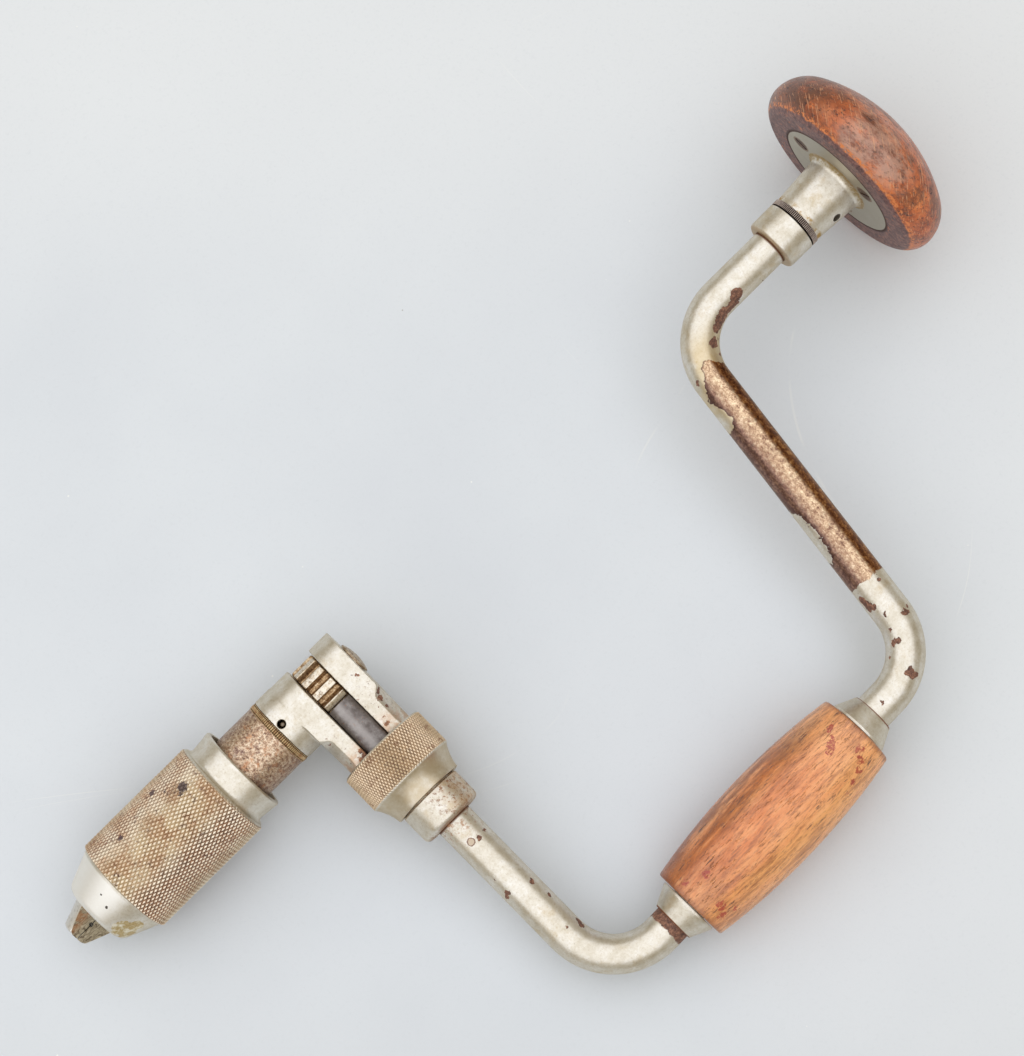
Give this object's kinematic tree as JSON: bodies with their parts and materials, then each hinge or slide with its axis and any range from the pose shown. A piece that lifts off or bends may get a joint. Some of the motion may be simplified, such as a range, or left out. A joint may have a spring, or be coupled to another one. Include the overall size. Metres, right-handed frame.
{
  "type": "bit brace",
  "caption": "Hand brace: a round wooden head and a chuck turn on a cranked steel rod with a free wooden grip and a ratchet set by a knurled ring.",
  "frame": {"origin": "on the spindle line, at the mouth of the chuck's bit socket", "axes": "+X along the spindle from the chuck to the head, -Y towards the crank's bow and grip, +Z square to the plane of the bow"},
  "size_m": [0.361, 0.1768, 0.0684],
  "materials": {
    "worn_nickel": "nickel plate, worn and stained, chipped to brown steel",
    "knurled_nickel": "nickel plate over knurling, rust between the points",
    "jaw_steel": "forged steel, brown-grey with brighter edges",
    "rusty_steel": "bare steel, pitted and brown",
    "dark_steel": "hardened steel, blue-grey",
    "bright_steel": "plain bright steel",
    "spring_steel": "spring wire",
    "grip_wood": "turned hardwood, orange-brown, dark pores, worn varnish",
    "pad_wood": "turned hardwood, worn stain, dark paint left on the base"
  },
  "bodies": {
    "frame": {"crank": "worn_nickel", "ratchet_yoke": "worn_nickel", "ring_collar": "worn_nickel", "yoke_cross_pin": "bright_steel", "head_collar": "worn_nickel", "head_washer": "bright_steel", "head_nut": "bright_steel", "lower_ferrule": "worn_nickel", "upper_ferrule": "worn_nickel", "pawl_pins": "bright_steel", "pawl_spring": "spring_steel", "detent_ball": "bright_steel", "detent_spring": "spring_steel", "chuck_bearing_balls": "bright_steel"},
    "head": {"head_pad": "pad_wood", "head_flange": "worn_nickel", "flange_screws": "rusty_steel", "head_lock_ring": "dark_steel", "head_bearing_balls": "bright_steel"},
    "grip": {"grip": "grip_wood"},
    "selector": {"selector_ring": "knurled_nickel"},
    "pawl_upper": {"pawl_upper": "dark_steel"},
    "pawl_lower": {"pawl_lower": "dark_steel"},
    "chuck": {"chuck_body": "rusty_steel", "ratchet_wheel": "rusty_steel", "wheel_pin": "bright_steel", "thrust_ring": "worn_nickel", "chuck_end_screw": "dark_steel", "jaw_spring": "spring_steel"},
    "shell_stop": {"shell_stop_ring": "dark_steel"},
    "shell": {"chuck_shell": "knurled_nickel"},
    "jaw_a": {"jaw_a": "jaw_steel"},
    "jaw_b": {"jaw_b": "jaw_steel"}
  },
  "joints": [
    {"name": "head_spin", "type": "hinge", "parent": "frame", "child": "head", "pos_m": [0.28642, 0, 0], "axis": [1, 0, 0], "continuous": true},
    {"name": "grip_spin", "type": "hinge", "parent": "frame", "child": "grip", "pos_m": [0.12947, -0.12661, 0], "axis": [0.9998, 0.0183, 0], "continuous": true},
    {"name": "selector_turn", "type": "hinge", "parent": "frame", "child": "selector", "pos_m": [0.05882, -0.03605, 0], "axis": [0, -1, 0], "range_deg": [0, 60]},
    {"name": "pawl_upper_rock", "type": "hinge", "parent": "frame", "child": "pawl_upper", "pos_m": [0.05882, -0.0335, 0.00565], "axis": [1, 0, 0], "range_deg": [0, 8], "stiffness_Nm_per_rad": 0.05, "springref_deg": -9.74, "deforming": ["pawl_spring"]},
    {"name": "pawl_lower_rock", "type": "hinge", "parent": "frame", "child": "pawl_lower", "pos_m": [0.05882, -0.0335, -0.00565], "axis": [1, 0, 0], "range_deg": [0, 2]},
    {"name": "chuck_spin", "type": "hinge", "parent": "frame", "child": "chuck", "pos_m": [0, 0, 0], "axis": [1, 0, 0], "continuous": true},
    {"name": "shell_travel", "type": "slide", "parent": "chuck", "child": "shell_stop", "axis": [-1, 0, 0], "range_m": [0, 0.01102]},
    {"name": "chuck_shell_turn", "type": "hinge", "parent": "shell_stop", "child": "shell", "pos_m": [0, 0, 0], "axis": [-1, 0, 0], "range_deg": [0, 1440]},
    {"name": "jaw_a_open", "type": "slide", "parent": "chuck", "child": "jaw_a", "axis": [0, 0.866, 0.5], "range_m": [0, 0.00402], "deforming": ["jaw_spring"]},
    {"name": "jaw_b_open", "type": "slide", "parent": "chuck", "child": "jaw_b", "axis": [0, -0.866, -0.5], "range_m": [0, 0.00402]}
  ],
  "couplings": [
    {"joint": "shell_travel", "follows": "chuck_shell_turn", "m_per_rad": 0.00043768},
    {"joint": "jaw_a_open", "follows": "chuck_shell_turn", "m_per_rad": 0.00015931},
    {"joint": "jaw_b_open", "follows": "chuck_shell_turn", "m_per_rad": 0.00015931}
  ]
}
